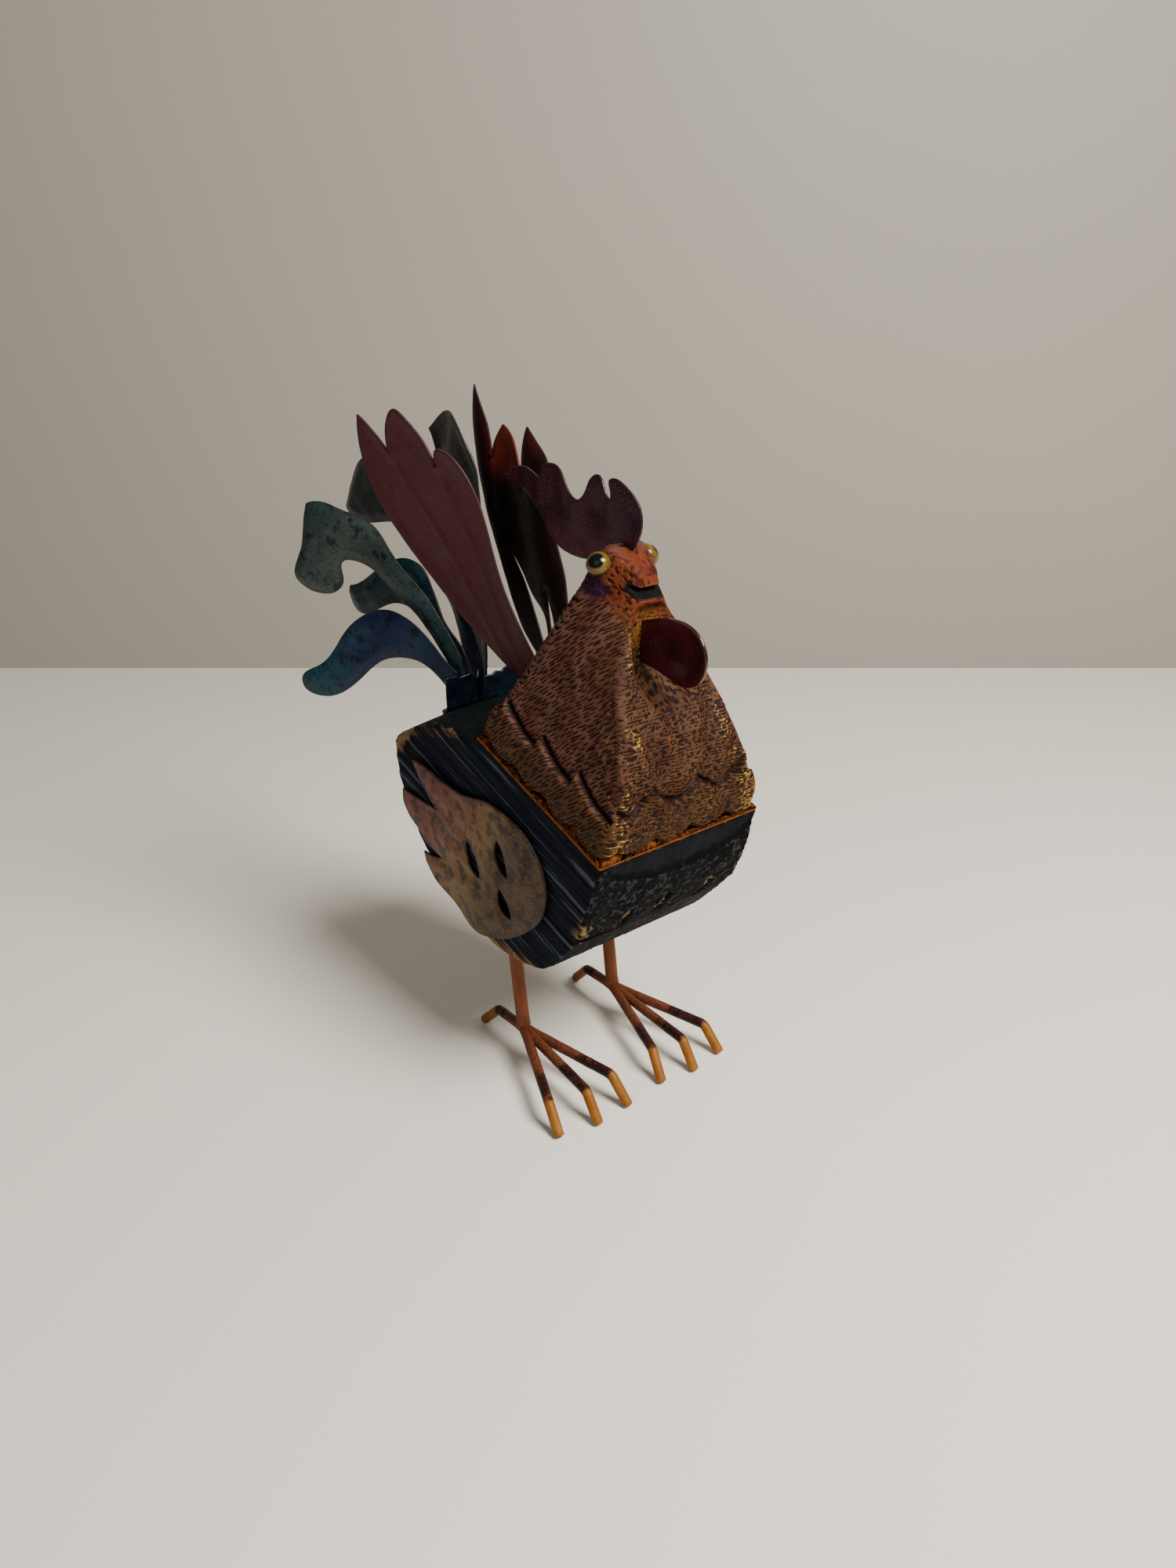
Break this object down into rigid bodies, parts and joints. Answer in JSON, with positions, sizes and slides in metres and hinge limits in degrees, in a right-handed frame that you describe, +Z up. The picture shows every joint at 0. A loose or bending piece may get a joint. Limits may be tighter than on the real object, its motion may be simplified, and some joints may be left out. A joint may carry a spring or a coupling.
{
  "type": "rooster figurine",
  "caption": "Free-standing rooster figure with a timber block body, carved neck, patinated sheet-metal comb, wings and tail, glass eyes and bent-rod feet.",
  "frame": {"origin": "bottom centre of the figure's box, on the surface it stands on", "axes": "+Z up, the bird faces -Y, its left side is +X"},
  "size_m": [0.1048, 0.2458, 0.3003],
  "materials": {
    "body_wood": "blue-black stain on wire-brushed timber",
    "neck_wood": "brown paint in gouged wood, dry-brushed with gold",
    "dowel_wood": "bare hardwood",
    "comb_copper": "speckled maroon patina on copper sheet",
    "steel_wire": "plain steel wire",
    "eye_glass": "amber glass with a black pupil",
    "wing_copper": "pink and gold flame patina on copper sheet",
    "fan_copper": "maroon patina on copper sheet",
    "tail_copper": "teal and blue patina on copper sheet",
    "leg_paint": "terracotta orange paint on steel rod",
    "toe_paint": "rust brown paint on steel rod with yellow tips"
  },
  "bodies": {
    "root": {"body_block": "body_wood", "bracket_nails": "steel_wire", "comb": "comb_copper", "eye_left": "eye_glass", "eye_pin_left": "steel_wire", "eye_pin_right": "steel_wire", "eye_right": "eye_glass", "feather_fan_left": "fan_copper", "feather_fan_right": "fan_copper", "leg_left": "leg_paint", "leg_right": "leg_paint", "neck_dowel_left": "dowel_wood", "neck_dowel_right": "dowel_wood", "neck_head": "neck_wood", "tail_bracket": "tail_copper", "tail_plume_curled": "tail_copper", "tail_plume_forked": "tail_copper", "tail_plume_low": "tail_copper", "tail_plume_short": "tail_copper", "tail_plume_upright": "tail_copper", "toe_inner_left": "toe_paint", "toe_inner_right": "toe_paint", "toe_middle_left": "toe_paint", "toe_middle_right": "toe_paint", "toe_outer_left": "toe_paint", "toe_outer_right": "toe_paint", "toe_rear_left": "toe_paint", "toe_rear_right": "toe_paint", "wattle": "comb_copper", "wing_left": "wing_copper", "wing_right": "wing_copper", "wing_studs_left": "steel_wire", "wing_studs_right": "steel_wire"}
  },
  "joints": []
}
